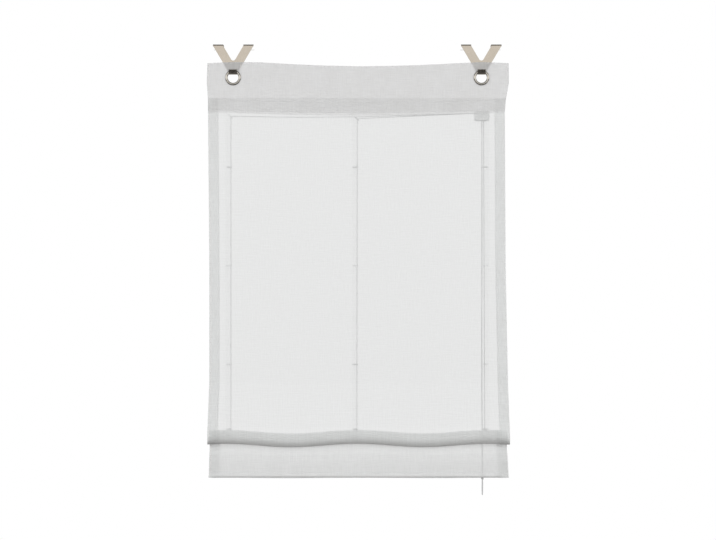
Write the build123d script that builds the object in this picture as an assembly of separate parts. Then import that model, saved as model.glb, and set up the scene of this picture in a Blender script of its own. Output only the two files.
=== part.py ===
from build123d import *
import os
from math import cos, pi, radians, sin, sqrt, tan

os.makedirs("parts", exist_ok=True)

# A soft Roman blind that hangs on a window sash from two V-shaped hooks. Millimetres.
# X runs to the right, -Y faces the room, +Z is up. The origin is midway between the hooks,
# on the line where their tabs sit on the sash: z = 0 is the top of the sash and y = 0 its
# room face.

# ---- the blind as a whole
blind_width = 980.0  # header band, edge to edge at the top
side_taper = 7.0  # the cloth below the header is this much narrower at each side
eyelet_inset = 86.0  # header edge to eyelet centre
column_inset = 77.5  # header edge to the lift cord of an outer column

# ---- heights, each counted down from the one before
eyelet_to_top = 50.5  # eyelet centre up to the header's top edge
header_height = 157.5
header_overlap = 41.0  # the panel reaches this far up behind the header
guide_drop = 18.0  # header's lower edge to the guide rings
first_row_drop = 165.0  # guide rings to the first row of rings
row_pitch = 322.0
last_row_drop = 212.0  # third row to the fourth, which holds up the standing fold
fold_depth = 44.0  # fourth row down to the bottom of the standing fold
hem_height = 156.0  # fourth row down to the bottom edge
middle_row_sag = 8.0  # the middle guide ring hangs this much lower than the left one

# ---- cloth
cloth = 0.5
header_corner_drop = 3.5  # the header's corners hang below its top at the eyelets
header_top_sag = 16.0  # and its middle sags between them
header_bottom_sag = 11.0
header_straight = 64.0  # height of its sides before they come in to the panel's width
side_hem = 34.0
fold_forward = 12.0  # how far the standing fold leans into the room
fold_start = 48.0  # below the third row
fold_ease = 60.0  # radius where the cloth begins to lean forward
fold_share = 0.9  # how much of a fold's width its two round corners take up
turn_radius = 2.0  # where the cloth turns over at the fourth row
tape_width = 20.0
tape = 0.5  # its thickness

# ---- sash hooks, bent from strip
strip = 1.5
hook_half_width = 66.0
arm_width = 33.0  # across an arm, measured level
arm_angle = 30.5  # from upright
crotch_radius = 8.0
bend_radius = 3.5  # inside of the bend over the sash
sash_thickness = 20.0
lip_height = 12.0
tab_inset = 7.5  # a tab is this much narrower than its arm behind the first bend
tongue_width = 26.0
neck_length = 1.5  # straight strip between the V and the tongue's first bend
tongue_bend = 2.0  # inside
tongue_rise = 15.0
tongue_lean = 1.75
layer_gap = 0.3  # between a hook and the eyelet it carries

# ---- eyelets
eyelet_bore = 17.2  # radius
eyelet_flange = 8.8  # bore to outer edge
eyelet_crown = 3.0  # the front stands this far proud of the cloth
crown_inset = 3.8  # bore to the highest circle of the crown
barrel_wall = 0.8
barrel_flare = 1.6
throat_depth = 0.6  # the inner edge of the front stands this far proud of the cloth
washer_flange = 8.0  # eyelet's bore to the washer's outer edge
washer = 1.6
eyelet_clearance = 0.1
tongue_clearance = 0.2

# ---- rings, cords and weight
ring_bore = 7.6  # radius
ring_wire = 2.0
ring_gap = 0.3
cord = 2.0
cord_in_ring = 0.3  # between a cord and the side of the ring that it runs along
guide_bend = 10.0  # radius of a cord where it turns through a guide ring
level_bend = 120.0  # radius where the left cord comes level, just past the middle guide ring
bend_margin = 0.001  # keeps a short straight between two arcs that would meet
end_knot = 2.7  # radius of the knot under a bottom ring
rod = 5.0
rod_clearance = 0.3
rod_inset = 14.0  # panel edge to rod
cap_length = 6.0
cap_skin = 0.2  # a cap is this much larger in radius than the rod
knot_radius = 5.2
knot_flat = 4.0  # centre of the pull knot up to its flat top
tail_length = 56.0  # pull knot down to the end of the longest tail
tail_step = 4.0  # each tail is this much shorter than the last

# ---- cord lock
lock_width = 48.0
lock_height = 30.0
lock_base = 2.6
lock_cover = 1.6
lock_corner = 4.0
cord_gap = 0.4  # the three cords lie one behind another in the lock, this far apart
lock_side_play = 1.5  # outer cord to the lock's inside face
post_play = 0.2
guide_post = 2.4  # radius of the post that the two long cords turn over
jaw = 3.0
jaw_play = 0.5
cord_entry = 9.0  # cords over the posts, above the guide rings' level
lock_above = 7.0  # lock's top edge above the cords
lock_offset = 0.5  # lock centre right of the pull cords
roller_radius = 3.2
roller_groove = 0.25
roller_grooves = 16
roller_travel = 5.0
roller_drop = 14.0  # cord entry level down to the jammed roller
roller_play = 0.15
slot_angle = 30.0  # of the roller's slots, from upright
trunnion_radius = 1.5
trunnion = 1.3
trunnion_play = 0.1
wall_frame = 2.0
wall_inset = 5.0  # side edge to the middle of a side wall
stitch_hole = 1.0
stitch_inset = 2.0
stitch_height = 6.0
jaw_foot = 1.0  # the jaw stops this far above the lock's lower edge

# ---- planes, from the sash towards the room
hook_front = -strip
washer_back = hook_front - layer_gap
header_back = washer_back - washer
header_front = header_back - 2 * cloth
panel_mid = header_back + cloth / 2
panel_back = header_back + cloth
tape_back = panel_back + tape
ring_radius = ring_bore + ring_wire
ring_centre = ring_bore + ring_wire / 2
ring_y = tape_back + ring_gap + ring_radius
cord_offset = ring_bore - cord / 2 - cord_in_ring

# ---- heights
tongue_half = tongue_width / 2
arm_lean = tan(radians(arm_angle))
neck_z = -bend_radius - (hook_half_width - tongue_half) / arm_lean
foot_z = neck_z - neck_length
tongue_top = foot_z - tongue_bend
eyelet_z = tongue_top - sqrt((eyelet_bore - tongue_clearance) ** 2 - tongue_half**2)
header_top = eyelet_z + eyelet_to_top
header_bottom = header_top - header_height
cloth_top = header_bottom + header_overlap
guide_z = header_bottom - guide_drop
row_z = [guide_z - first_row_drop - n * row_pitch for n in range(3)]
row_z.append(row_z[2] - last_row_drop)
fold_z = row_z[3] - fold_depth
bottom_z = row_z[3] - hem_height

# ---- places across
panel_width = blind_width - 2 * side_taper
hook_x = blind_width / 2 - eyelet_inset
column_x = blind_width / 2 - column_inset
columns = {"left": -column_x, "middle": 0.0, "right": column_x}
ring_side = {"left": -1, "middle": -1, "right": 1}  # the cord runs along the ring's inner side
jaw_x = column_x - cord / 2 - jaw_play - jaw / 2
pull_x = jaw_x - jaw / 2 - jaw_play - cord / 2
jaw_post = (column_x - pull_x) / 2 - cord / 2 - post_play
cord_pitch = cord + cord_gap
lock_inside = 2 * lock_side_play + 2 * cord_pitch + cord
lock_inside_y = tape_back + lock_base
cord_depth = [lock_inside_y + lock_side_play + cord / 2 + n * cord_pitch for n in range(3)]
entry_z = guide_z + cord_entry
lock_top = entry_z + lock_above
lock_bottom = lock_top - lock_height
lock_x = pull_x + lock_offset

room_wall = Plane.XZ  # local x is X, local y is Z, and the normal is -Y
side_wall = Plane.YZ


def save(part, name):
    export_step(part, f"parts/{name}.step")


def flat(face, front, depth):
    """A face drawn in X and Z, made into a slab from y = front back by depth."""
    slab = extrude(room_wall * face, amount=-depth)
    return Pos(0, front, 0) * slab


def outline(*edges):
    return make_face(Curve() + list(edges))


def across(face, low, high):
    """A face drawn in Y and Z, made into a bar from x = low to x = high."""
    return Pos(low, 0, 0) * extrude(side_wall * face, amount=high - low)


def thick_line(line, thickness):
    """A face of even thickness along a line drawn in Y and Z."""
    return make_face(offset(line, amount=thickness / 2, side=Side.BOTH, kind=Kind.ARC))


def tube(points, radii, diameter):
    """A round cord along straight runs and tangent arcs. Prints the arcs and the volume."""
    path = FilletPolyline(*points, radius=radii) if radii else Line(*points)
    start = Plane(origin=path @ 0, z_dir=path % 0)
    body = sweep(start * Circle(diameter / 2), path=path)
    share = body.volume / (pi * diameter**2 / 4 * path.length)
    print(f"cord {path.length:.1f} long, arcs {radii}, volume share {share:.5f}")
    return body


def header_band():
    """Doubled cloth strip with an eyelet hole at each end."""
    half = blind_width / 2
    low_half = panel_width / 2
    corner = header_top - header_corner_drop
    shoulder = corner - header_straight
    top_middle = header_top - header_top_sag
    bottom_middle = header_bottom - header_bottom_sag
    face = outline(
        Line((-half, corner), (-hook_x, header_top)),
        ThreePointArc((-hook_x, header_top), (0, top_middle), (hook_x, header_top)),
        Line((hook_x, header_top), (half, corner)),
        Line((half, corner), (half, shoulder)),
        Line((half, shoulder), (low_half, header_bottom)),
        ThreePointArc((low_half, header_bottom), (0, bottom_middle), (-low_half, header_bottom)),
        Line((-low_half, header_bottom), (-half, shoulder)),
        Line((-half, shoulder), (-half, corner)),
    )
    hole = Circle(eyelet_bore + barrel_wall + eyelet_clearance)
    for x in (-hook_x, hook_x):
        face -= Pos(x, eyelet_z) * hole
    return flat(face, header_front, 2 * cloth)


def cloth_line(top, bottom):
    """The middle of the cloth from z = top, down and round the standing fold, to z = bottom."""
    mid = panel_mid
    far = mid - fold_forward
    inner = mid - 2 * turn_radius
    low = fold_z + cloth / 2
    high = row_z[3] - cloth / 2
    points = [
        (mid, top),
        (mid, row_z[2] - fold_start),
        (far, low),
        (inner, low),
        (inner, high),
        (mid, high),
        (mid, bottom),
    ]
    fold = fold_share * (inner - far) / 2
    turn = fold_share * turn_radius
    return FilletPolyline(*points, radius=[fold_ease, fold, fold, turn, turn])


def turned_cloth(x, width, low, high):
    """A second layer lying on the back of the panel."""
    layer = Box(width, cloth, high - low)
    return Pos(x, panel_back + cloth / 2, (low + high) / 2) * layer


def fabric_panel():
    """The cloth: side hems, a standing fold above the hem, and a tunnel for the rod."""
    half = panel_width / 2
    inner = rod / 2 + rod_clearance
    tunnel_top = bottom_z + 2 * inner + 2 * cloth
    tunnel = Circle(inner + cloth) - Circle(inner)
    sheet = across(thick_line(cloth_line(cloth_top, tunnel_top - cloth / 2), cloth), -half, half)
    sheet += across(Pos(panel_mid, bottom_z + inner + cloth) * tunnel, -half, half)
    for side in (-1, 1):
        x = side * (half - side_hem / 2)
        sheet += turned_cloth(x, side_hem, row_z[2] - fold_start, cloth_top)
    return sheet + turned_cloth(0, panel_width, tunnel_top, row_z[3] - 2 * turn_radius)


def ring_tape(x):
    """Woven tape on the back of the cloth, which the rings of one column are sewn to."""
    line = cloth_line(cloth_top, row_z[3] - 2 * turn_radius)
    reach = cloth / 2 + tape
    both = make_face(offset(line, amount=reach, side=Side.LEFT, kind=Kind.ARC))
    return across(both - thick_line(line, cloth), x - tape_width / 2, x + tape_width / 2)


def sash_hook():
    """One piece of bent strip, drawn about x = 0: a V whose arms turn back over the sash and
    whose point turns forward and up into a tongue."""
    start = -bend_radius
    inner = hook_half_width - arm_width
    crotch_z = start - inner / arm_lean
    plate = Polygon(
        (-hook_half_width, start),
        (-tongue_half, neck_z),
        (-tongue_half, foot_z),
        (tongue_half, foot_z),
        (tongue_half, neck_z),
        (hook_half_width, start),
        (inner, start),
        (0, crotch_z),
        (-inner, start),
        align=None,
    )
    crotch = plate.vertices().sort_by_distance((0, crotch_z))[0]
    hook = flat(fillet(crotch, crotch_radius), hook_front, strip)

    middle = strip / 2
    tab_line = FilletPolyline(
        (-middle, start - strip),
        (-middle, middle),
        (sash_thickness + middle, middle),
        (sash_thickness + middle, -lip_height),
        radius=bend_radius + middle,
    )
    tab = thick_line(tab_line, strip)
    hook += across(tab, -hook_half_width, -inner)
    hook += across(tab, inner, hook_half_width)

    # the lip's outer edge runs parallel to the arm's, so nothing shows beside the arm
    side = hook_half_width - tab_inset
    corner = Polygon(
        (-side, strip),
        (-hook_half_width, strip),
        (-hook_half_width, -lip_height),
        (lip_height * arm_lean - side, -lip_height),
        align=None,
    )
    cut = flat(corner, bend_radius, sash_thickness + strip - bend_radius)
    hook -= cut + mirror(cut, about=Plane.YZ)

    front = header_front - eyelet_crown - layer_gap - middle
    tongue_line = FilletPolyline(
        (-middle, foot_z + strip),
        (-middle, tongue_top - middle),
        (front, tongue_top - middle),
        (front - tongue_lean, tongue_top - strip + tongue_rise),
        radius=tongue_bend + middle,
    )
    return hook + across(thick_line(tongue_line, strip), -tongue_half, tongue_half)


def quarter_turn(start, end):
    """An arc that leaves start along Y and comes near to level at end."""
    across_part, along_part = 1 - 1 / sqrt(2), 1 / sqrt(2)
    middle = (
        start[0] + (end[0] - start[0]) * across_part,
        start[1] + (end[1] - start[1]) * along_part,
    )
    return ThreePointArc(start, middle, end)


def eyelet_front():
    """Domed front with its barrel, which passes through the cloth and flares behind."""
    inside = eyelet_bore
    outside = inside + barrel_wall
    rim = inside + eyelet_flange
    base = header_front
    throat = (inside, base - throat_depth)
    crown = (inside + crown_inset, base - eyelet_crown)
    flare = (inside + barrel_flare, washer_back)
    profile = outline(
        quarter_turn(throat, crown),
        quarter_turn((rim, base), crown),
        Line((rim, base), (outside, base)),
        Line((outside, base), (outside, header_back)),
        Line((outside, header_back), (outside + barrel_flare, washer_back)),
        Line((outside + barrel_flare, washer_back), flare),
        quarter_turn((inside, header_back), flare),
        Line((inside, header_back), throat),
    )
    return Pos(0, 0, eyelet_z) * revolve(Plane.XY * profile, axis=Axis.Y)


def eyelet_washer():
    """Flat ring behind the cloth, with a bore that opens to take the barrel's flare."""
    bore = eyelet_bore + barrel_wall + eyelet_clearance
    rim = eyelet_bore + washer_flange
    profile = Polygon(
        (bore, header_back),
        (rim, header_back),
        (rim, washer_back),
        (bore + barrel_flare, washer_back),
        align=None,
    )
    return Pos(0, 0, eyelet_z) * revolve(profile, axis=Axis.Y)


def ring_place(side, x, z):
    return Pos(x + ring_side[side] * cord_offset, ring_y, z)


def cord_ring():
    return Torus(ring_centre, ring_wire / 2)


def guide_ring(x, z):
    """A ring turned half-way between the cord's two directions, where it bends."""
    bend = guide_bend * (1 - 1 / sqrt(2))
    out = cord_offset / sqrt(2)
    return Pos(x + bend - out, ring_y, z - bend + out) * Rot(0, 45, 0) * cord_ring()


def lock_slot(radius):
    """The slanted slot that the roller's trunnions run in, drawn in X and Z."""
    x, z = roller_seat()
    dx, dz = sin(radians(slot_angle)), cos(radians(slot_angle))
    middle = Pos(x - dx * roller_travel / 2, z - dz * roller_travel / 2)
    slot = SlotCenterToCenter(roller_travel, 2 * radius)
    return middle * Rot(0, 0, 90 - slot_angle) * slot


def roller_seat():
    """Where the roller jams the cords against the jaw."""
    return pull_x - cord / 2 - roller_play - roller_radius, entry_z - roller_drop


def lock_face():
    """The lock's outline, with a stitch hole near each corner."""
    middle = (lock_top + lock_bottom) / 2
    face = Pos(lock_x, middle) * RectangleRounded(lock_width, lock_height, lock_corner)
    for side in (-1, 1):
        x = lock_x + side * (lock_width / 2 - stitch_inset)
        for z in (lock_top - stitch_height, lock_bottom + stitch_height):
            face -= Pos(x, z) * Circle(stitch_hole)
    return face


def lock_housing():
    """Base plate with two posts that the cords run over, a jaw and two side walls."""
    base = flat(lock_face(), tape_back, lock_base)
    pocket_depth = trunnion + trunnion_play
    pocket_face = lock_slot(trunnion_radius + trunnion_play)
    pocket = flat(pocket_face, lock_inside_y - pocket_depth, pocket_depth)
    reach = cord / 2 + post_play
    inside = Pos(pull_x - guide_post - reach, entry_z - guide_post - reach) * Circle(guide_post)
    jaw_top = entry_z - jaw_post - reach
    inside += Pos(jaw_x, jaw_top) * Circle(jaw_post)
    jaw_low = lock_bottom + jaw_foot
    inside += Pos(jaw_x, (jaw_top + jaw_low) / 2) * Rectangle(jaw, jaw_top - jaw_low)
    wall_height = lock_height / 2
    wall = Rectangle(wall_frame, wall_height)
    for side in (-1, 1):
        x = lock_x + side * (lock_width / 2 - wall_inset)
        inside += Pos(x, lock_bottom + lock_corner + wall_height / 2) * wall
    return base - pocket + flat(inside, lock_inside_y, lock_inside)



def lock_cover_plate():
    slot = lock_slot(trunnion_radius + trunnion_play)
    return flat(lock_face() - slot, lock_inside_y + lock_inside, lock_cover)


def lock_roller():
    """Grooved roller at the free, lower end of its slots."""
    x, z = roller_seat()
    x -= sin(radians(slot_angle)) * roller_travel
    z -= cos(radians(slot_angle)) * roller_travel
    section = Circle(roller_radius)
    for n in range(roller_grooves):
        turn = Rot(0, 0, n * 360 / roller_grooves)
        section -= turn * Pos(roller_radius + roller_groove / 2, 0) * Circle(2 * roller_groove)
    play = trunnion_play
    roller = flat(section, lock_inside_y + play, lock_inside - 2 * play)
    roller += flat(Circle(trunnion_radius), lock_inside_y - trunnion, lock_inside + 2 * trunnion)
    return Pos(x, 0, z) * roller


def lift_cords():
    """Each cord rises from a knot under its bottom ring and ends where it leaves the lock."""
    low = row_z[3] - ring_wire
    middle_z = guide_z - middle_row_sag
    # the left cord runs level through the slanted middle ring, near its upper edge
    far_side = (cord_offset + ring_bore - cord / sqrt(2) - 2 * cord_in_ring) / sqrt(2)
    bend = guide_bend * (1 - 1 / sqrt(2))
    through = (bend - far_side, ring_y, middle_z - bend + far_side)
    ends = [[(pull_x, y, entry_z), (pull_x, y, lock_bottom)] for y in cord_depth]
    over_post = guide_post + cord / 2 + post_play
    over_jaw = (column_x - pull_x) / 2
    left, middle = columns["left"], columns["middle"]
    routes = {
        "left": (
            [(left, ring_y, low), (left, ring_y, guide_z), through, *ends[1]],
            [guide_bend, level_bend, over_post],
        ),
        "middle": (
            [(middle, ring_y, low), (middle, ring_y, middle_z), *ends[0]],
            [guide_bend, over_post],
        ),
        "right": (
            [(column_x, cord_depth[2], low), (column_x, cord_depth[2], entry_z), *ends[2]],
            [over_jaw - bend_margin, over_jaw - bend_margin],
        ),
    }
    for name, (points, radii) in routes.items():
        knot = Pos(*points[0]) * Pos(0, 0, -end_knot / 2) * Sphere(end_knot)
        save(tube(points, radii, cord) + knot, f"lift_cord_{name}")


def pull_knot():
    """The knot that joins the three pull cords, with their tails."""
    z = bottom_z - knot_flat
    middle = cord_depth[1]
    knot = Pos(pull_x, middle, z) * Sphere(knot_radius)
    above = Box(2 * knot_radius, 2 * knot_radius, 2 * knot_radius)
    knot -= Pos(pull_x, middle, z + knot_flat + knot_radius) * above
    for n, y in enumerate(cord_depth):
        length = tail_length - n * tail_step
        knot += Pos(pull_x, y, z - length / 2) * Cylinder(cord / 2, length)
    return knot


save(header_band(), "header_band")
save(fabric_panel(), "fabric_panel")

for side, x in (("left", -hook_x), ("right", hook_x)):
    save(Pos(x, 0, 0) * sash_hook(), f"sash_hook_{side}")
    save(Pos(x, 0, 0) * eyelet_front(), f"eyelet_front_{side}")
    save(Pos(x, 0, 0) * eyelet_washer(), f"eyelet_washer_{side}")

for side, x in columns.items():
    save(ring_tape(x + ring_side[side] * cord_offset), f"ring_tape_{side}")
    for n, z in enumerate(row_z, start=1):
        save(ring_place(side, x, z) * cord_ring(), f"ring_{n}_{side}")

save(guide_ring(columns["left"], guide_z), "guide_ring_left")
save(guide_ring(columns["middle"], guide_z - middle_row_sag), "guide_ring_middle")

save(lock_housing(), "lock_housing")
save(lock_cover_plate(), "lock_cover")
save(lock_roller(), "lock_roller")

lift_cords()
for n, y in enumerate(cord_depth, start=1):
    pull_cord = tube([(pull_x, y, lock_bottom), (pull_x, y, bottom_z)], [], cord)
    save(pull_cord, f"pull_cord_{n}")
save(pull_knot(), "pull_knot")

rod_z = bottom_z + rod / 2 + rod_clearance + cloth
rod_length = panel_width - 2 * rod_inset
lying = Pos(0, panel_mid, rod_z) * Rot(0, 90, 0)
save(lying * Cylinder(rod / 2, rod_length), "weight_rod")
cap = Cylinder(rod / 2 + cap_skin, cap_length)
for side, sign in (("left", -1), ("right", 1)):
    save(lying * Pos(0, 0, sign * (rod_length + cap_length) / 2) * cap, f"rod_cap_{side}")
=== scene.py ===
import math

import bpy
import numpy as np
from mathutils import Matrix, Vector


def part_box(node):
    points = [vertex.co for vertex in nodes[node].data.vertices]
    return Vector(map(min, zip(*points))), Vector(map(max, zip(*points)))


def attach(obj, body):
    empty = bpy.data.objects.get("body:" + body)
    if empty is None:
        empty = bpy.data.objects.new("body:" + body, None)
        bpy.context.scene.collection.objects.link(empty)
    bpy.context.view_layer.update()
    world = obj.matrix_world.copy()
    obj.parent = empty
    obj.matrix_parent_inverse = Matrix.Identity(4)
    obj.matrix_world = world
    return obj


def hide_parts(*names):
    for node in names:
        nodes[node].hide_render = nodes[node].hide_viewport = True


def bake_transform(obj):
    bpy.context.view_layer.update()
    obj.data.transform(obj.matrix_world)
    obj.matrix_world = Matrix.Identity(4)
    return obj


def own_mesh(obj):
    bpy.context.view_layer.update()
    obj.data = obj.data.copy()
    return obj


# A soft Roman blind on two sash hooks. Metres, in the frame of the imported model: +X right,
# -Y towards the room, +Z up, with z = 0 on top of the sash.

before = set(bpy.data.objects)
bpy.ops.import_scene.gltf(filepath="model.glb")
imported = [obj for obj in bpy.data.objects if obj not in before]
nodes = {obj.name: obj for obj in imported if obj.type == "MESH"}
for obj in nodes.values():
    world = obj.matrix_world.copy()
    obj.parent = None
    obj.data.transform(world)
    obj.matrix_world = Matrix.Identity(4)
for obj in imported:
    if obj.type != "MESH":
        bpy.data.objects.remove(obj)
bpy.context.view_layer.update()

COLUMNS = ("left", "middle", "right")


def mid(node, axis):
    """The middle of a node's box along one axis."""
    return sum(getattr(corner, axis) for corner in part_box(node)) / 2


# ---- levels and places, from the frame
header_low, header_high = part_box("header_band")
hook_x, eyelet_z = mid("eyelet_front_right", "x"), mid("eyelet_front_right", "z")
row_z = [mid(f"ring_{n}_middle", "z") for n in (1, 2, 3, 4)]
ring_x = {column: mid(f"ring_1_{column}", "x") for column in COLUMNS}
ring_y = mid("ring_1_middle", "y")
guide_z = mid("guide_ring_left", "z")
lock_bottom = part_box("lock_housing")[0].z
rod_y, rod_z = mid("weight_rod", "y"), mid("weight_rod", "z")
pull_x = mid("pull_cord_2", "x")
pull_y = [mid(f"pull_cord_{k}", "y") for k in (1, 2, 3)]
knot_x, knot_top = mid("pull_knot", "x"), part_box("pull_knot")[1].z

LAYER = 0.0006  # between the middles of two layers of cloth
SIDE_HEM = 0.034
HEADER_SEWN = 0.011  # the header's lower edge at its sides is this far above its CAD box
HEADER_OVERLAP = 0.041  # and the panel reaches this far up behind it


# =====================================================================================
# camera
# =====================================================================================

CAMERA_PLACE = (0.0024, -3.0, -0.734)  # level with the middle of the view
CAMERA_LENS = 46.3


def add_camera():
    data = bpy.data.cameras.new("camera")
    camera = bpy.data.objects.new("camera", data)
    bpy.context.collection.objects.link(camera)
    data.sensor_width = 36.0
    data.lens = CAMERA_LENS
    camera.location = CAMERA_PLACE
    camera.rotation_euler = (math.radians(90), 0, 0)
    bpy.context.scene.camera = camera


add_camera()


# =====================================================================================
# materials
# =====================================================================================


class Nodes:
    """A node tree, with short calls to add and join nodes."""

    def __init__(self, tree):
        self.tree = tree
        tree.nodes.clear()

    def add(self, kind, **settings):
        node = self.tree.nodes.new(kind)
        inputs = settings.pop("inputs", {})
        for key, value in settings.items():
            setattr(node, key, value)
        for key, value in inputs.items():
            self.put(node.inputs[key], value)
        return node

    def put(self, socket, value):
        if isinstance(value, bpy.types.NodeSocket):
            self.tree.links.new(value, socket)
        else:
            socket.default_value = value

    def math(self, operation, a, b=0.0):
        return self.add("ShaderNodeMath", operation=operation, inputs={0: a, 1: b}).outputs[0]

    def noise(self, vector, scale, detail=2.0, rough=0.5):
        inputs = {"Vector": vector, "Scale": scale, "Detail": detail, "Roughness": rough}
        return self.add("ShaderNodeTexNoise", inputs=inputs).outputs[0]

    def stretched(self, vector, scale):
        return self.add("ShaderNodeMapping", inputs={"Vector": vector, "Scale": scale}).outputs[0]

    def remap(self, value, low, high, to_low, to_high):
        inputs = {0: value, 1: low, 2: high, 3: to_low, 4: to_high}
        return self.add("ShaderNodeMapRange", inputs=inputs).outputs[0]

    def tint(self, amount, a, b):
        """A colour between a and b."""
        node = self.add("ShaderNodeMix", data_type="RGBA")
        self.put(node.inputs[0], amount)
        self.put(node.inputs[6], a)
        self.put(node.inputs[7], b)
        return node.outputs[2]

    def bump(self, height, strength, distance):
        inputs = {"Height": height, "Strength": strength, "Distance": distance}
        return self.add("ShaderNodeBump", inputs=inputs).outputs[0]

    def mix_shader(self, share, a, b):
        inputs = {0: share, 1: a.outputs[0], 2: b.outputs[0]}
        return self.add("ShaderNodeMixShader", inputs=inputs)

    def finish(self, shader, kind="Material"):
        out = self.add(f"ShaderNodeOutput{kind}")
        self.put(out.inputs["Surface"], shader.outputs[0])


def new_material(name):
    material = bpy.data.materials.new(name)
    material.use_nodes = True
    return material, Nodes(material.node_tree)


def grey(value, warm=0.0):
    """A grey with a little yellow in it, or blue where warm is under 0."""
    return (value * (1 + warm), value, value * (1 - warm), 1.0)


def weave(n, place, pitch):
    """Height of a plain weave whose threads run along X and Z, from 0 to 1."""
    parts = n.add("ShaderNodeSeparateXYZ", inputs={0: place})
    turns = 2 * math.pi / pitch
    across = n.math("SINE", n.math("MULTIPLY", parts.outputs[0], turns))
    up = n.math("SINE", n.math("MULTIPLY", parts.outputs[2], turns))
    product = n.math("MULTIPLY", across, up)
    return n.math("MULTIPLY_ADD", product, 0.5)


THREAD_PITCH = 0.0016
SLUB_SCALES = (22, 22, 520)  # of the noise for threads along X; turned round for those along Z
SLUB_MIDDLE, SLUB_SHARE = 1.5, 0.09  # the slubs' mean sum, and how much they vary the cover
FOLD_SHADE_DARK, FOLD_SHADE_COVER = 0.62, 0.25  # how far the painted shade at the standing fold's lower edge darkens the cloth, and how much cover it adds there
# The most cover a denser range adds, at its lower end.
DENSER_COVER = 0.20


def cloth_material(name, cover, light, dark, glow=0.36, denser=None):
    """Sheer cloth: cover is how much of it is thread, and slubs make it vary. Denser is a
    height range down which the cover grows, so the cloth gets darker towards its lower end.
    Where a mesh's point attribute says so, painted shade darkens the colour towards a grey
    and the cover grows, so less light comes through: at the standing fold's lower edge this
    is partly the cloth turned edge on, which shows more thread, and partly painted shade; on
    the hem just below the fold it is a painted shadow."""
    material, n = new_material(name)
    place = n.add("ShaderNodeTexCoord").outputs["Object"]
    along = n.noise(n.stretched(place, SLUB_SCALES), 1.0, 3.0)
    up = n.noise(n.stretched(place, SLUB_SCALES[::-1]), 1.0, 3.0)
    broad = n.noise(place, 14.0, 3.0)
    slub = n.math("ADD", n.math("ADD", along, up), broad)
    # A point attribute that marks where shade is painted: the standing fold's lower edge and the
    # hem just below it.
    fold_shade = n.add("ShaderNodeAttribute", attribute_name="fold_shade").outputs["Fac"]
    colour = n.tint(n.remap(slub, 1.2, 1.8, 0.0, 1.0), dark, light)
    # Painted shade: the colour is darkened towards a grey there.
    colour = n.tint(n.math("MULTIPLY", fold_shade, FOLD_SHADE_DARK), colour, grey(0.40, 0.02))
    threads = weave(n, place, THREAD_PITCH)
    relief = n.math("ADD", threads, n.math("MULTIPLY", slub, 0.8))
    normal = n.bump(relief, 0.25, 0.0003)
    front = n.add("ShaderNodeBsdfPrincipled")
    n.put(front.inputs["Base Color"], colour)
    n.put(front.inputs["Roughness"], 0.85)
    n.put(front.inputs["Specular IOR Level"], 0.2)
    n.put(front.inputs["Sheen Weight"], 0.12)
    n.put(front.inputs["Normal"], normal)
    through = n.add("ShaderNodeBsdfTranslucent", inputs={"Color": colour, "Normal": normal})
    body = n.mix_shader(glow, front, through)
    uneven = n.math("MULTIPLY", n.math("SUBTRACT", slub, SLUB_MIDDLE), SLUB_SHARE)
    share = n.math("ADD", uneven, cover)
    # The cover grows there too: partly the cloth turned edge on, partly painted shade.
    share = n.math("ADD", share, n.math("MULTIPLY", fold_shade, FOLD_SHADE_COVER))
    if denser:
        height = n.add("ShaderNodeSeparateXYZ", inputs={0: place}).outputs[2]
        share = n.math("ADD", share, n.remap(height, *denser, 0.0, DENSER_COVER))
    n.finish(n.mix_shader(share, n.add("ShaderNodeBsdfTransparent"), body))
    return material


voile = cloth_material("voile", 0.54, (0.918, 0.930, 0.923, 1.0), (0.868, 0.875, 0.866, 1.0))
# The hem's cloth is the panel's voile made sheerer, so the hem comes out lighter than the same
# cloth would: painted light. Its cover grows again from 5 cm below the fourth row of rings down to
# the weight rod, so the painted light is strongest at the hem's top and the hem gets darker
# towards its lower edge.
hem_cloth_painted_light = cloth_material(
    "hem_cloth_painted_light",
    0.335,
    (0.918, 0.925, 0.918, 1.0),
    (0.868, 0.872, 0.864, 1.0),
    denser=(row_z[3] - 0.05, rod_z),
)
band_cloth = cloth_material("band_cloth", 0.56, grey(0.915, 0.002), grey(0.860, 0.006))
tape_cloth = cloth_material("tape_cloth", 0.07, grey(0.80), grey(0.74))


FLECK = 0.06  # how much darker the flecks in plastic are


def plain_material(name, colour, roughness):
    """Plastic or thread: one colour that varies a little, with a fine bump."""
    material, n = new_material(name)
    place = n.add("ShaderNodeTexCoord").outputs["Object"]
    fleck = n.noise(place, 160.0, 3.0)
    dark = tuple(c * (1 - FLECK) for c in colour[:3]) + (1.0,)
    shader = n.add("ShaderNodeBsdfPrincipled")
    n.put(shader.inputs["Base Color"], n.tint(n.remap(fleck, 0.3, 0.7, 0.0, 1.0), dark, colour))
    n.put(shader.inputs["Roughness"], roughness)
    n.put(shader.inputs["Normal"], n.bump(n.noise(place, 900.0), 0.08, 0.0002))
    n.finish(shader)
    return material


ring_plastic = plain_material("ring_plastic", grey(0.78), 0.3)
lock_plastic = plain_material("lock_plastic", grey(0.90), 0.32)
roller_plastic = plain_material("roller_plastic", grey(0.65), 0.4)
rod_plastic = plain_material("rod_plastic", grey(0.66, 0.01), 0.5)
cap_plastic = plain_material("cap_plastic", grey(0.88), 0.4)

BRAID_PITCH = 0.0022
BRAID_SLANT = 1.5


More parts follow.
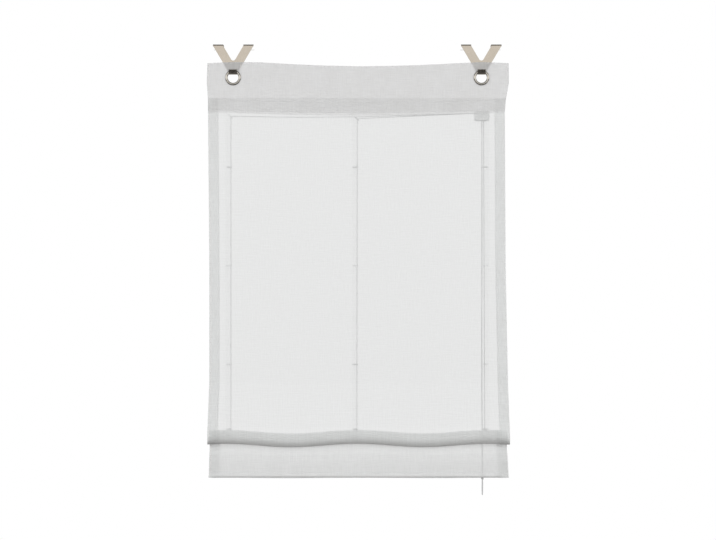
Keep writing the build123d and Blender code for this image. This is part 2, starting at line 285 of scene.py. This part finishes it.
def cord_material():
    """White braid: slanted bundles of thread, with painted shade in the grooves between them."""
    material, n = new_material("braid")
    place = n.add("ShaderNodeTexCoord").outputs["Object"]
    parts = n.add("ShaderNodeSeparateXYZ", inputs={0: place})
    slant = n.math("ADD", parts.outputs[2], n.math("MULTIPLY", parts.outputs[0], BRAID_SLANT))
    wave = n.math("SINE", n.math("MULTIPLY", slant, 2 * math.pi / BRAID_PITCH))
    shader = n.add("ShaderNodeBsdfPrincipled")
    height = n.math("ADD", wave, n.noise(place, 1200.0))
    # Painted shade: the colour follows the bump's wave, darker in the grooves and lighter on the
    # crests.
    n.put(shader.inputs["Base Color"], n.tint(n.remap(wave, -1, 1, 0, 1), grey(0.64), grey(0.80)))
    n.put(shader.inputs["Roughness"], 0.8)
    n.put(shader.inputs["Normal"], n.bump(height, 0.4, 0.0002))
    n.finish(shader)
    return material


braid = cord_material()


STREAK_SCALES = (900, 900, 40)
STREAK = 0.03  # how much the streaks vary the roughness
CLOUD_DARK = 0.86


def metal_material(name, colour, roughness):
    """Plated steel with fine streaks from drawing or polishing."""
    material, n = new_material(name)
    place = n.add("ShaderNodeTexCoord").outputs["Object"]
    lines = n.noise(n.stretched(place, STREAK_SCALES), 1.0, 3.0)
    cloud = n.noise(place, 30.0, 3.0)
    dark = tuple(c * CLOUD_DARK for c in colour[:3]) + (1.0,)
    shader = n.add("ShaderNodeBsdfPrincipled")
    n.put(shader.inputs["Base Color"], n.tint(cloud, dark, colour))
    n.put(shader.inputs["Metallic"], 1.0)
    polish = n.remap(lines, 0.3, 0.7, roughness - STREAK, roughness + STREAK)
    n.put(shader.inputs["Roughness"], polish)
    n.put(shader.inputs["Normal"], n.bump(lines, 0.05, 0.0001))
    n.finish(shader)
    return material


hook_steel = metal_material("hook_steel", (0.64, 0.60, 0.545, 1.0), 0.15)
eyelet_metal = metal_material("eyelet_metal", (0.72, 0.71, 0.68, 1.0), 0.1)


def dress(node, material):
    nodes[node].data.materials.clear()
    nodes[node].data.materials.append(material)


for side in ("left", "right"):
    dress(f"sash_hook_{side}", hook_steel)
    dress(f"eyelet_front_{side}", eyelet_metal)
    dress(f"eyelet_washer_{side}", eyelet_metal)
    dress(f"rod_cap_{side}", cap_plastic)
for name in nodes:
    if name.startswith(("ring_", "guide_ring")) and not name.startswith("ring_tape"):
        dress(name, ring_plastic)
dress("weight_rod", rod_plastic)
dress("lock_housing", lock_plastic)
dress("lock_cover", lock_plastic)
dress("lock_roller", roller_plastic)


# =====================================================================================
# cloth
# =====================================================================================

# Where the cloth's sides run, from the header's top down: height, left edge, right edge.
SIDES = (
    (-0.057, -0.490, 0.490),
    (-0.125, -0.492, 0.491),
    (-0.180, -0.488, 0.481),
    (-0.215, -0.488, 0.478),
    (-0.400, -0.4865, 0.479),
    (-0.720, -0.4840, 0.4805),
    (-1.090, -0.484, 0.488),
    (-1.290, -0.488, 0.492),
)
# and those of the hem below the standing fold
HEM_SIDES = ((-1.254, -0.483, 0.486), (-1.310, -0.482, 0.484), (-1.412, -0.486, 0.491))
SIDE_SHIFT = CAMERA_PLACE[0]  # both tables are as seen straight from the camera

STEP = 0.005  # between the rows of a cloth mesh
ROLL_INSET = 0.0012  # where a turned side leaves the cloth's face
EDGE_ROLL = ((0.0004, 0.8), (0.0, 0.5), (0.0004, 0.2))  # its rolled edge: inset, layers back
HEM_POINTS = 8  # across a turned side


def sides_at(table, z):
    """The left and right edge at each height."""
    heights = [-row[0] for row in table]
    below = -np.asarray(z, float)
    return [SIDE_SHIFT + np.interp(below, heights, [row[k] for row in table]) for k in (1, 2)]


def add_mesh(name, points, faces, material, smooth=None):
    """A new object from plain lists, smooth all over unless told which faces are."""
    mesh = bpy.data.meshes.new(name)
    mesh.from_pydata(points, [], faces)
    mesh.polygons.foreach_set("use_smooth", smooth or [True] * len(mesh.polygons))
    mesh.materials.append(material)
    mesh.update()
    piece = bpy.data.objects.new(name, mesh)
    bpy.context.collection.objects.link(piece)
    return piece


def sheet_mesh(name, grid, material, fold_shade=None):
    """A mesh from a grid of points, rows by columns by 3, with a point attribute of painted shade
    given as one number for a row.
    """
    rows, cols = grid.shape[:2]
    index = np.arange(rows * cols).reshape(rows, cols)
    corners = (index[:-1, :-1], index[1:, :-1], index[1:, 1:], index[:-1, 1:])
    faces = np.stack([c.ravel() for c in corners], axis=1)
    piece = add_mesh(name, grid.reshape(-1, 3).tolist(), faces.tolist(), material)
    if fold_shade is not None:
        attribute = piece.data.attributes.new("fold_shade", "FLOAT", "POINT")
        attribute.data.foreach_set("value", np.repeat(fold_shade, cols))
    return piece


def rounded_line(points, radii):
    """Points along straight runs joined by arcs, in two dimensions, about a step apart."""
    points = [np.array(p, float) for p in points]
    line = [points[0]]
    for before, corner, after, radius in zip(points, points[1:], points[2:], radii):
        a = (before - corner) / np.linalg.norm(before - corner)
        b = (after - corner) / np.linalg.norm(after - corner)
        half = math.acos(max(-1.0, min(1.0, float(a @ b)))) / 2
        reach = radius / math.tan(half)
        centre = corner + (a + b) / np.linalg.norm(a + b) * radius / math.sin(half)
        first, last = corner + a * reach - centre, corner + b * reach - centre
        turn = math.pi - 2 * half
        count = max(2, int(math.ceil(turn / math.radians(22))))
        for k in range(count + 1):
            t = k / count
            arc = (first * math.sin((1 - t) * turn) + last * math.sin(t * turn)) / math.sin(turn)
            line.append(centre + arc)
    line.append(points[-1])
    fine = [line[0]]
    for p, q in zip(line, line[1:]):
        count = max(1, int(round(np.linalg.norm(q - p) / STEP)))
        fine += [p + (q - p) * k / count for k in range(1, count + 1)]
    return np.array(fine)


def unevenness(x, z):
    """How far the cloth stands off its plane, in soft waves."""
    across = np.sin(5.3 * x + 0.7) * 0.5 + np.sin(11.7 * x + 2.1 + 0.9 * z) * 0.35
    return 0.0016 * (across + 0.3 * np.sin(23.0 * x + 1.7 * z + 0.4))


def near_eyelet(x, z):
    """1 at an eyelet, falling to 0 over a few centimetres, where the cloth is held flat."""
    apart = np.minimum(np.hypot(x - hook_x, z - eyelet_z), np.hypot(x + hook_x, z - eyelet_z))
    return np.exp(-((apart / 0.06) ** 2))


def stand_off(x, z):
    return unevenness(x, z) * (1 - near_eyelet(x, z))


def droop(x):
    """How far cloth that hangs between the columns sags, from 0 at a column to 1."""
    pitch = ring_x["right"] - ring_x["middle"]
    inner = (1 - np.cos(2 * np.pi * x / pitch)) / 2
    outer = 0.5 * (1 - np.cos(np.pi * (np.abs(x) - pitch) / 0.2))
    return np.where(np.abs(x) < pitch, inner, outer)


def ease(t):
    t = np.clip(t, 0, 1)
    return t * t * (3 - 2 * t)


def normals_of(line):
    """Unit vectors across a line drawn in Y and Z, on the side that faces back on the way down."""
    along = np.gradient(line, axis=0)
    along /= np.linalg.norm(along, axis=1)[:, None]
    return np.stack([-along[:, 1], along[:, 0]], axis=1)


def cloth_row(place, normal, xs, depth, drop):
    """One row of points of hanging cloth, each a depth behind its line, with a sag."""
    (y, z), (ny, nz) = place, normal
    fall = z - drop * droop(xs)
    return np.stack([xs, y + ny * depth + stand_off(xs, fall), fall + nz * depth], axis=1)


def hemmed_grid(line, sides, sag, columns=150, side_hems=True):
    """A sheet along a line in Y and Z, with its sides turned over to the back or plain."""
    inner = np.linspace(0, 1, columns) * 2 - 1
    rolls = [inset for inset, _ in EDGE_ROLL]
    insets = np.array([*np.linspace(SIDE_HEM, ROLL_INSET, HEM_POINTS), *rolls])
    back = np.array([1.0] * HEM_POINTS + [layers for _, layers in EDGE_ROLL])
    rows = []
    for place, normal, left, right, drop in zip(line, normals_of(line), *sides, sag):
        xs = (left + right) / 2 + inner * ((right - left) / 2 - ROLL_INSET)
        depth = np.zeros(columns)
        if side_hems:
            xs = np.concatenate([left + insets, xs, (right - insets)[::-1]])
            depth = np.concatenate([back, depth, back[::-1]]) * LAYER
        rows.append(cloth_row(place, normal, xs, depth, drop))
    return np.array(rows)


# ---- the cloth's lines, seen from the side

panel_y = header_high.y + 0.00025  # the middle of the cloth
turn_y = panel_y - 0.004  # back of the standing fold
front_y = panel_y - 0.020  # and its front
fold_low = row_z[3] - 0.0437
turn_top = row_z[3] - 0.00025
turn_top_y = (turn_y + panel_y) / 2
tunnel_front, tunnel_back = rod_y - 0.0031, rod_y + 0.0032
tunnel_high, tunnel_low = rod_z + 0.003, rod_z - 0.0034
tunnel_seam = rod_z + 0.013
back_y = panel_y + 3 * LAYER
hem_middle = (turn_top + rod_z) / 2
HEM_BULGE = 0.008  # how far the hem stands forward at its middle
FOLD_SAG, EDGE_SAG = 0.011, 0.0012  # of the standing fold and the hem's lower edge

fold_line = rounded_line(
    [
        (panel_y, row_z[2]),
        (panel_y, row_z[2] - 0.060),
        (front_y, fold_low + 0.030),
        (front_y + 0.004, fold_low),
        (turn_y, fold_low),
        (turn_y, turn_top),
        (turn_top_y, turn_top),
    ],
    [0.06, 0.028, 0.0062, 0.0054, 0.0018],
)
hem_line = rounded_line(
    [
        (turn_top_y, turn_top),
        (panel_y, turn_top),
        (panel_y - HEM_BULGE, hem_middle),
        (panel_y, tunnel_seam),
        (tunnel_front, tunnel_high),
        (tunnel_front, tunnel_low),
        (rod_y, tunnel_low),
    ],
    [0.0018, 0.2, 0.02, 0.008, 0.0029],
)
turned_line = rounded_line(
    [
        (rod_y, tunnel_low),
        (tunnel_back, tunnel_low),
        (tunnel_back, tunnel_high),
        (back_y, tunnel_seam),
        (back_y - HEM_BULGE, hem_middle),
        (back_y, row_z[3] - 0.004),
    ],
    [0.0029, 0.008, 0.02, 0.2],
)


def straight(top, bottom):
    count = int(round((top - bottom) / STEP))
    return np.stack([np.full(count + 1, panel_y), np.linspace(top, bottom, count + 1)], axis=1)


def length_along(line):
    return np.concatenate([[0], np.cumsum(np.linalg.norm(np.diff(line, axis=0), axis=1))])


def hem_droop(line):
    """The hem sags with the fold at its top and hardly at its lower edge."""
    return EDGE_SAG + (FOLD_SAG - EDGE_SAG) * ease((line[:, 1] - row_z[3] + 0.12) / 0.12)


def fold_shade_of(line):
    """1 at the standing fold's lower edge, fading to 0 over 2 cm: where shade is painted, on the
    fold as the cloth rolls under, and on the hem as the fold's shadow.
    """
    return (1 - ease(np.abs(line[:, 1] - fold_low - 0.002) / 0.024)) ** 1.3


def fold_sides():
    """The panel's sides down the front of the fold, and the hem's up its back."""
    along, lowest = length_along(fold_line), int(np.argmin(fold_line[:, 1]))
    back_leg = ease((along - along[lowest]) / 0.04)
    front, back = (sides_at(table, fold_line[:, 1]) for table in (SIDES, HEM_SIDES))
    return [f * (1 - back_leg) + b * back_leg for f, b in zip(front, back)]


class Length:
    """A length of the cloth between two bodies: its line, the sag and sides along it, and the
    heights where it leaves the upper body and reaches the lower one."""

    def __init__(self, line, upper, lower, start, end, sag=None, sides=None):
        self.line, self.upper, self.lower = line, upper, lower
        self.start, self.end = (0, panel_y, start), (0, panel_y, end)
        self.sag = np.zeros(len(line)) if sag is None else sag
        self.sides = sides or sides_at(SIDES, line[:, 1])
        self.run = float(length_along(line)[-1])

    def hang(self, piece):
        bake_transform(piece)


def row_length(top, row, upper, start):
    """A flat length down to one row of rings."""
    return Length(straight(top, row_z[row]), upper, f"row_{row + 1}", start, row_z[row])


fold_sag = ease(length_along(fold_line) / 0.2) * FOLD_SAG
lengths = {
    "cloth_1": row_length(
        header_low.z + HEADER_OVERLAP + HEADER_SEWN, 0, "header", (guide_z + row_z[0]) / 2
    ),
    "cloth_2": row_length(row_z[0], 1, "row_1", (row_z[0] + row_z[1]) / 2),
    "cloth_3": row_length(row_z[1], 2, "row_2", (row_z[1] + row_z[2]) / 2),
    "cloth_4_fold": Length(
        fold_line, "row_3", "hem", row_z[2] - 0.09, turn_top, fold_sag, fold_sides()
    ),
}


def add_lengths():
    for name, part in lengths.items():
        folded = name == "cloth_4_fold"
        # Only the fold's length is painted with shade, at its lower edge.
        fold_shade = fold_shade_of(part.line) if folded else None
        piece = sheet_mesh(name, hemmed_grid(part.line, part.sides, part.sag), voile, fold_shade)
        part.hang(piece)


def add_hem_piece(name, line, side_hems, replaced=None):
    """The front of the hem, or the cloth turned up behind it."""
    sides = sides_at(HEM_SIDES, line[:, 1])
    grid = hemmed_grid(line, sides, hem_droop(line), side_hems=side_hems)
    # The hem's front is painted with the fold's shadow around and just below the fold's lower
    # edge, at three quarters of the fold's shade.
    piece = sheet_mesh(name, grid, hem_cloth_painted_light, fold_shade_of(line) * 0.75 if side_hems else None)
    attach(piece, "hem")
    if replaced:
        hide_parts(replaced)


add_lengths()
add_hem_piece("cloth_5_hem", hem_line, True, "fabric_panel")
add_hem_piece("cloth_6_turned_up", turned_line, False)


# ---- header band: two layers, joined at the top and sides, with a hole for each eyelet

HEADER_TOP = (
    (-0.490, -0.0035),
    (-hook_x, 0.0),
    (-0.32, -0.001),
    (-0.2, -0.0075),
    (-0.1, -0.0115),
    (0.0, -0.0135),
    (0.1, -0.0125),
    (0.2, -0.0100),
    (0.32, -0.004),
    (hook_x, 0.0),
    (0.490, -0.0035),
)
# Each layer: its place in layers, and how far its lower edge hangs, all over and at the middle.
HEADER_LAYERS = ((-0.5, 0.0055, 0.0105), (0.5, 0.0, 0.0075))
HEADER_COLUMNS, HEADER_ROWS = 181, 40
EYELET_HOLE = 0.0183  # radius


def header_layer(place, hang, bow):
    """One layer of the header's points."""
    xs = np.linspace(-1, 1, HEADER_COLUMNS)
    steps, falls = zip(*HEADER_TOP)
    top = header_high.z + np.interp(xs * 0.49, steps, falls)
    bottom = header_low.z + HEADER_SEWN - hang - bow * (1 - xs**2)
    y = (header_low.y + header_high.y) / 2 + place * LAYER
    rows = []
    for v in np.linspace(0, 1, HEADER_ROWS):
        z = top + (bottom - top) * v
        left, right = sides_at(SIDES, z)
        x = np.where(xs < 0, -xs * left, xs * right)
        rows.append(np.stack([x, y + stand_off(x, z), z], axis=1))
    return np.array(rows).reshape(-1, 3)


def cut_hole(band, x):
    """Cut an eyelet's hole through both layers."""
    bpy.ops.mesh.primitive_cylinder_add(
        vertices=48,
        radius=EYELET_HOLE,
        depth=0.03,
        location=(x, (header_low.y + header_high.y) / 2, eyelet_z),
        rotation=(math.pi / 2, 0, 0),
    )
    cutter = bpy.context.object
    cut = band.modifiers.new("hole", "BOOLEAN")
    cut.object, cut.operation = cutter, "DIFFERENCE"
    bpy.context.view_layer.objects.active = band
    bpy.ops.object.modifier_apply(modifier=cut.name)
    bpy.data.objects.remove(cutter)


def header_band():
    points = np.concatenate([header_layer(*layer) for layer in HEADER_LAYERS])
    behind = HEADER_COLUMNS * HEADER_ROWS
    front = np.arange(behind).reshape(HEADER_ROWS, HEADER_COLUMNS)
    corners = [front[:-1, :-1], front[1:, :-1], front[1:, 1:], front[:-1, 1:]]
    faces = np.stack(corners, -1).reshape(-1, 4)
    back_faces = np.stack([corners[k] + behind for k in (0, 3, 2, 1)], -1).reshape(-1, 4)
    rim = np.concatenate([front[::-1, 0], front[0, 1:], front[1:, -1]])
    before, after = rim[:-1], rim[1:]
    joins = np.stack([before, after, after + behind, before + behind], axis=1)
    every = np.concatenate([faces, back_faces, joins])
    band = add_mesh("header_cloth", points.tolist(), every.tolist(), band_cloth)
    for x in (-hook_x, hook_x):
        cut_hole(band, x)
    band.data.polygons.foreach_set("use_smooth", [True] * len(band.data.polygons))
    return band


band = header_band()
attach(band, "header")
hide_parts("header_band")


# =====================================================================================
# tapes
# =====================================================================================

TAPE_WIDTH = 0.020
TAPE_DEPTH = 1.4 * LAYER  # behind the cloth


def tape_grid(part, x):
    xs = x + np.linspace(-0.5, 0.5, 5) * TAPE_WIDTH
    rows = []
    for place, normal, drop in zip(part.line, normals_of(part.line), part.sag):
        rows.append(cloth_row(place, normal, xs, TAPE_DEPTH, drop))
    return np.array(rows)


def add_tape(column):
    for k, part in enumerate(lengths.values(), 1):
        tape = sheet_mesh(f"tape_{column}_{k}", tape_grid(part, ring_x[column]), tape_cloth)
        part.hang(tape)
    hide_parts(f"ring_tape_{column}")


for column in COLUMNS:
    add_tape(column)


# =====================================================================================
# cords
# =====================================================================================

CORD = 0.002
CORD_OFFSET = 0.0063  # from a column's middle to the cord in its rings


def tube_mesh(name, path, diameter=CORD, sides=8):
    """A closed tube of braid along a list of points."""
    path = np.array(path, float)
    along = np.gradient(path, axis=0)
    along /= np.linalg.norm(along, axis=1)[:, None]
    side = np.array([0.0, 1.0, 0.0])
    turns = np.arange(sides)[:, None] * 2 * math.pi / sides
    rings = []
    for p, t in zip(path, along):
        a = np.cross(t, side)
        a /= np.linalg.norm(a)
        b = np.cross(t, a)
        rings.append(p + diameter / 2 * (np.cos(turns) * a + np.sin(turns) * b))
    points = np.concatenate(rings)
    faces = []
    for k in range(len(path) - 1):
        for j in range(sides):
            a, b = k * sides + j, k * sides + (j + 1) % sides
            faces.append((a, b, b + sides, a + sides))
    faces.append(tuple(range(sides))[::-1])
    faces.append(tuple(range(len(points) - sides, len(points))))
    smooth = [len(f) == 4 for f in faces]
    return add_mesh(name, points.tolist(), faces, braid, smooth)


def spline_points(route, resolution):
    """Points along one NURBS spline through a cord's route."""
    curve = bpy.data.curves.new("route", "CURVE")
    curve.dimensions = "3D"
    spline = curve.splines.new("NURBS")
    spline.points.add(len(route) - 1)
    for point, place in zip(spline.points, route):
        point.co = (*place, 1.0)
    spline.order_u = 3
    spline.use_endpoint_u = True
    spline.resolution_u = resolution
    holder = bpy.data.objects.new("route", curve)
    bpy.context.collection.objects.link(holder)
    mesh = bpy.data.meshes.new_from_object(holder)
    points = [tuple(v.co) for v in mesh.vertices]
    bpy.data.objects.remove(holder)
    bpy.data.meshes.remove(mesh)
    return points


def tied_knot(name, place, size, seed):
    """A small tied knot: a lumpy ball with grooves that run round it."""
    bpy.ops.mesh.primitive_uv_sphere_add(segments=20, ring_count=14, location=place)
    knot = bpy.context.object
    knot.name = name
    for v in knot.data.vertices:
        groove = 1 + 0.09 * math.sin(7 * v.co.z + 3.0 * math.atan2(v.co.y, v.co.x) + seed)
        v.co = [c * s * groove for c, s in zip(v.co, size)]
    knot.data.polygons.foreach_set("use_smooth", [True] * len(knot.data.polygons))
    knot.data.materials.append(braid)
    return knot


LEAN = {"left": 0.0, "middle": -0.0015, "right": 0.0038}  # sideways, down to the hem
GUIDE_BEND = 0.010  # below a guide, where a cord starts to turn level
MIDDLE_SAG = 0.008
END_KNOT = (0.0027, 0.0027, 0.0024)
CARRIERS = (
    ("row_1_lift", "header"),
    ("row_2_lift", "row_1"),
    ("row_3_lift", "row_2"),
    ("hem_lift", "row_3"),
)
low_guide = guide_z - MIDDLE_SAG
entry_z = guide_z + 0.009  # where the cords turn down into the lock
cord_x = {column: ring_x[column] + CORD_OFFSET for column in ("left", "middle")}
cord_x["right"] = ring_x["right"] - CORD_OFFSET
cord_y = {"left": ring_y, "middle": ring_y, "right": pull_y[2]}
top_z = {"left": guide_z - GUIDE_BEND, "middle": low_guide - GUIDE_BEND, "right": lock_bottom}


def hanging_cord(column):
    """The upright run of a lift cord, one stretch between each two rows, with its knot."""
    x, y = cord_x[column], cord_y[column]
    stops = [top_z[column], *row_z[:3], row_z[3] - 0.002]
    lean = LEAN[column] / (stops[0] - stops[4])
    for k, (joint, body) in enumerate(CARRIERS):
        fall = stops[k] - stops[k + 1]
        heights = np.linspace(stops[k], stops[k + 1], 1 + max(8, int(fall / 0.01)))
        path = [(x + lean * (stops[0] - z), y, z) for z in heights]
        piece = tube_mesh(f"lift_cord_{column}_{k + 1}", path)
        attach(piece, body)
        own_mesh(piece)
    place = (x + LEAN[column], y, row_z[3] - 0.0034)
    knot = tied_knot(f"end_knot_{column}", place, END_KNOT, 1.0)
    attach(knot, "hem")


def into_lock(y, first=0.0):
    """The end of a level route: over the lock's edge and down through it."""
    return [
        (pull_x - 0.007, y, entry_z - first),
        (pull_x, y, entry_z),
        (pull_x, y, entry_z - 0.007),
        (pull_x, y, lock_bottom),
    ]


left_x, middle_x, right_x = (cord_x[c] for c in COLUMNS)
level_routes = {
    "left": [
        (left_x, ring_y, top_z["left"]),
        (left_x, ring_y, guide_z),
        (left_x + 0.014, ring_y, guide_z - 0.0004),
        (left_x * 0.5, ring_y, guide_z - 0.0042),
        (middle_x - 0.020, ring_y, low_guide + 0.0056),
        (middle_x - 0.004, ring_y, low_guide + 0.0055),
        (middle_x + 0.020, ring_y, low_guide + 0.0062),
        *into_lock(pull_y[1], 0.0002),
    ],
    "middle": [
        (middle_x, ring_y, top_z["middle"]),
        (middle_x, ring_y, low_guide),
        (middle_x + 0.014, ring_y, low_guide + 0.0006),
        *into_lock(pull_y[0], 0.0003),
    ],
    "right": [
        (right_x, pull_y[2], lock_bottom),
        (right_x, pull_y[2], entry_z - 0.007),
        (right_x, pull_y[2], entry_z),
        *into_lock(pull_y[2])[1:],
    ],
}
for column in COLUMNS:
    hanging_cord(column)
    run = tube_mesh(f"lift_cord_{column}_level", spline_points(level_routes[column], 16))
    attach(run, "header")
    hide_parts(f"lift_cord_{column}")


end_x, end_z = knot_x + 0.0018, knot_top + 0.001  # where the pull cords meet in their knot
TAILS = ((-0.0019, 0.057), (0.0006, 0.0594), (0.0016, 0.054))  # spread and length
SWAYS = (0.0010, -0.0006, 0.0014)  # how far each pull cord bows


def toward_knot(k, share):
    """A cord's depth, a share of the way from the lock's slot to the knot's middle."""
    return pull_y[k] * (1 - share) + pull_y[1] * share


def pull_tail(k, spread, length):
    route = [
        (end_x + spread * 0.3, toward_knot(k, 0.5), end_z - 0.006),
        (end_x + spread * 0.9, toward_knot(k, 0.4), end_z - 0.017),
        (end_x + spread, toward_knot(k, 0.3), end_z - 0.034),
        (end_x + spread * 0.7, toward_knot(k, 0.2), end_z - length),
    ]
    tail = tube_mesh(f"pull_tail_{k + 1}", spline_points(route, 10))
    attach(tail, "pull_end")
    return tail


def pull_cords():
    """Three cords from the lock to one knot below the hem, with their tails."""
    place = (end_x, pull_y[1], end_z - 0.0042)
    knot = tied_knot("pull_knot_tied", place, (0.0044, 0.0042, 0.0050), 0.4)
    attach(knot, "pull_end")
    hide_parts("pull_knot")
    on_cord = [knot] + [pull_tail(k, *tail) for k, tail in enumerate(TAILS)]
    for k, sway in enumerate(SWAYS):
        y = pull_y[k]
        route = [
            (pull_x, y, lock_bottom),
            (pull_x + sway, y, lock_bottom - 0.36),
            (pull_x - sway, y + 0.0003, lock_bottom - 0.80),
            (end_x, toward_knot(k, 0.3), end_z - 0.0005),
        ]
        path = spline_points(route, 60)
        piece = tube_mesh(f"pull_cord_{k + 1}_hanging", path)
        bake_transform(piece)
        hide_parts(f"pull_cord_{k + 1}")


pull_cords()


# =====================================================================================
# stitches
# =====================================================================================

STITCH, STITCH_GAP, THREAD = 0.0028, 0.0012, 0.00045
SEAM_INSET = 0.003  # of a side seam from the turned edge
thread = plain_material("thread", grey(0.84), 0.7)


def stitches(name, path):
    """A row of machine stitches along a path, each a small pointed bead."""
    path = np.array(path, float)
    total = length_along(path)
    points, faces = [], []
    start = STITCH_GAP
    while start + STITCH < total[-1]:
        ends = (start, start + STITCH)
        a, b = (np.array([np.interp(t, total, path[:, i]) for i in range(3)]) for t in ends)
        along = (b - a) / np.linalg.norm(b - a)
        side = np.cross(along, (0, 1, 0))
        out = np.cross(side, along)
        centre, first = (a + b) / 2, len(points)
        reach = STITCH * 0.3
        points += [a, b]
        for end in (-reach, reach):
            for u, v in ((1, 0), (0, 1), (-1, 0), (0, -1)):
                points.append(centre + along * end + (side * u + out * v) * THREAD / 2)
        for j in range(4):
            k = (j + 1) % 4
            faces.append((first, first + 2 + k, first + 2 + j))
            faces.append((first + 2 + j, first + 2 + k, first + 6 + k, first + 6 + j))
            faces.append((first + 1, first + 6 + j, first + 6 + k))
        start += STITCH + STITCH_GAP
    piece = add_mesh(name, [tuple(p) for p in points], faces, thread)
    return piece


def on_front(line, xs, sag, lift=0.0003):
    """Places on the face of a sheet along its line, at one x for each."""
    places = []
    for place, normal, x, drop in zip(line, normals_of(line), xs, sag):
        places.append(cloth_row(place, normal, np.array([x]), -lift, drop)[0])
    return places


for k, (side, sign) in enumerate((("left", 1), ("right", -1))):
    for n, part in enumerate(lengths.values(), 1):
        xs = part.sides[k] + sign * (SIDE_HEM - SEAM_INSET)
        part.hang(stitches(f"stitches_{side}_{n}", on_front(part.line, xs, part.sag)))


def level_seam(name, body, height, y, half, rise):
    """A seam across the blind that hangs below its ends' height by rise at the middle."""
    xs = np.linspace(-half, half, 200)
    zs = height - rise * (1 - (xs / half) ** 2)
    seam = stitches(name, np.stack([xs, y + stand_off(xs, zs), zs], axis=1))
    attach(seam, body)


header_seam = header_low.z + HEADER_SEWN
header_y = header_low.y - 0.0001
level_seam("stitches_header_low", "header", header_seam + 0.004, header_y, 0.474, 0.011)
header_seam += HEADER_OVERLAP
level_seam("stitches_header_high", "header", header_seam - 0.004, header_y, 0.478, 0.011)
level_seam("stitches_rod", "hem", rod_z + 0.0135, panel_y - LAYER, 0.480, EDGE_SAG)


# =====================================================================================
# stage and light
# =====================================================================================


FLOOR_Z = -2.6


def add_stage():
    """A pale floor well below the blind."""
    bpy.ops.mesh.primitive_plane_add(size=16, location=(0, 0, FLOOR_Z))
    floor = bpy.context.object
    floor.name = "stage_floor"
    material, n = new_material("pale_floor")
    glow = n.add("ShaderNodeEmission", inputs={"Color": (1, 1, 1, 1), "Strength": 1.0})
    n.finish(glow)
    floor.data.materials.append(material)
    floor.visible_diffuse = False
    floor.visible_glossy = False


# What metal mirrors, as heights from -1 straight down to 1 straight up: a warm bright band just
# above the horizon in front, a dimmer one below it, dark elsewhere, and pale all over behind.
BRIGHT_BAND = ((0.03, 0.09), (0.36, 0.46))
DIM_BAND = ((-0.46, -0.40), (-0.22, -0.16))


def add_world():
    """White behind the blind, a soft grey to light it, and bands for metal to mirror."""
    world = bpy.data.worlds.new("studio")
    bpy.context.scene.world = world
    world.use_nodes = True
    n = Nodes(world.node_tree)
    path = n.add("ShaderNodeLightPath")
    place = n.add("ShaderNodeTexCoord").outputs["Generated"]
    parts = n.add("ShaderNodeSeparateXYZ", inputs={0: place})
    height = parts.outputs[2]

    def band(start, end):
        fade_in, fade_out = n.remap(height, *start, 0.0, 1.0), n.remap(height, *end, 1.0, 0.0)
        return n.math("MULTIPLY", fade_in, fade_out)

    soft = n.tint(n.remap(height, -1.0, 1.0, 0.0, 1.0), grey(0.20, 0.01), grey(0.935, -0.005))
    dim = n.tint(band(*DIM_BAND), grey(0.03), grey(0.45, 0.04))
    mirror = n.tint(band(*BRIGHT_BAND), dim, (1.0, 0.95, 0.88, 1.0))
    behind = n.remap(parts.outputs[1], 0.0, 0.3, 0.0, 1.0)
    mirror = n.tint(behind, mirror, grey(0.6, 0.02))
    light = n.tint(path.outputs["Is Glossy Ray"], soft, mirror)
    colour = n.tint(path.outputs["Is Camera Ray"], light, (1, 1, 1, 1))
    n.finish(n.add("ShaderNodeBackground", inputs={"Color": colour, "Strength": 1.0}), "World")


LIGHT_AIM = (0, 0, -0.8)


def add_softbox(name, place, size, power):
    """An area light aimed at the blind's middle, which metal doesn't mirror."""
    data = bpy.data.lights.new(name, "AREA")
    data.shape = "RECTANGLE"
    data.size, data.size_y = size
    data.energy = power
    lamp = bpy.data.objects.new(name, data)
    bpy.context.collection.objects.link(lamp)
    lamp.location = place
    lamp.visible_glossy = False
    direction = Vector(LIGHT_AIM) - Vector(place)
    lamp.rotation_euler = direction.to_track_quat("-Z", "Y").to_euler()


add_stage()
add_world()
add_softbox("softbox_left", (-3.2, -1.6, -0.8), (1.2, 2.4), 26)
add_softbox("softbox_right", (3.2, -1.6, -0.8), (1.2, 2.4), 26)
add_softbox("softbox_top", (0, -2.2, 1.6), (3.0, 1.2), 14)

scene = bpy.context.scene
scene.view_settings.view_transform = "Standard"
scene.cycles.transparent_max_bounces = 24
